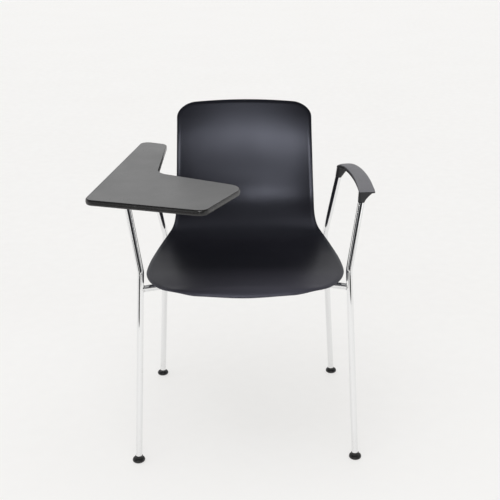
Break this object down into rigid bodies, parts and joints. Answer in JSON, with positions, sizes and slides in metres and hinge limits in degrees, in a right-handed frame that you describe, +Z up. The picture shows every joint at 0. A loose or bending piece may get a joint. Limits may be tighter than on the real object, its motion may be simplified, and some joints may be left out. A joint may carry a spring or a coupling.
{
  "type": "student desk chair",
  "caption": "Four-leg tube-frame chair with a one-piece plastic shell, an armrest on one side and a folding, swivelling writing tablet on the other.",
  "frame": {"origin": "on the floor, at the bottom centre of the chair's bounding box", "axes": "+Z up, -Y to the chair's front, +X towards the side with the armrest; the tablet is on the -X side"},
  "size_m": [0.6476, 0.6438, 0.8091],
  "materials": {
    "chrome": "bright chromium plate",
    "shell_plastic": "black polypropylene, satin with a very fine grain",
    "armrest_plastic": "black plastic, fine matt grain",
    "glide_plastic": "black moulded plastic",
    "tablet_laminate": "dark grey laminate, matt",
    "black_steel": "black powder coat",
    "zinc_steel": "zinc plate",
    "rubber": "matt"
  },
  "bodies": {
    "chair_frame": {"front_left_leg": "chrome", "front_right_leg": "chrome", "rear_left_leg": "chrome", "rear_right_leg": "chrome", "front_cross_tube": "chrome", "rear_cross_tube": "chrome", "front_left_glide": "glide_plastic", "front_right_glide": "glide_plastic", "rear_left_glide": "glide_plastic", "rear_right_glide": "glide_plastic", "seat_shell": "shell_plastic", "armrest": "armrest_plastic", "left_seat_rail": "black_steel", "right_seat_rail": "black_steel", "tablet_arm_bar": "black_steel", "left_front_shell_screw": "zinc_steel", "left_rear_shell_screw": "zinc_steel", "right_front_shell_screw": "zinc_steel", "right_rear_shell_screw": "zinc_steel", "hinge_pin": "zinc_steel", "front_rest_pad": "rubber", "rear_rest_pad": "rubber"},
    "tablet_carrier": {"carrier_plate": "black_steel", "friction_washer": "glide_plastic"},
    "tablet": {"tablet_board": "tablet_laminate", "swivel_plate": "black_steel", "board_screw_1": "zinc_steel", "board_screw_2": "zinc_steel", "board_screw_3": "zinc_steel", "board_screw_4": "zinc_steel", "pivot_bolt": "zinc_steel", "pivot_nut": "zinc_steel"}
  },
  "joints": [
    {"name": "tablet_fold", "type": "hinge", "parent": "chair_frame", "child": "tablet_carrier", "pos_m": [-0.27223, 0.01741, 0.673], "axis": [-0.1112, -0.9938, 0], "range_deg": [0, 90]},
    {"name": "tablet_swivel", "type": "hinge", "parent": "tablet_carrier", "child": "tablet", "pos_m": [-0.24716, 0.17806, 0.6841], "axis": [0, 0, -1], "range_deg": [0, 90]}
  ]
}
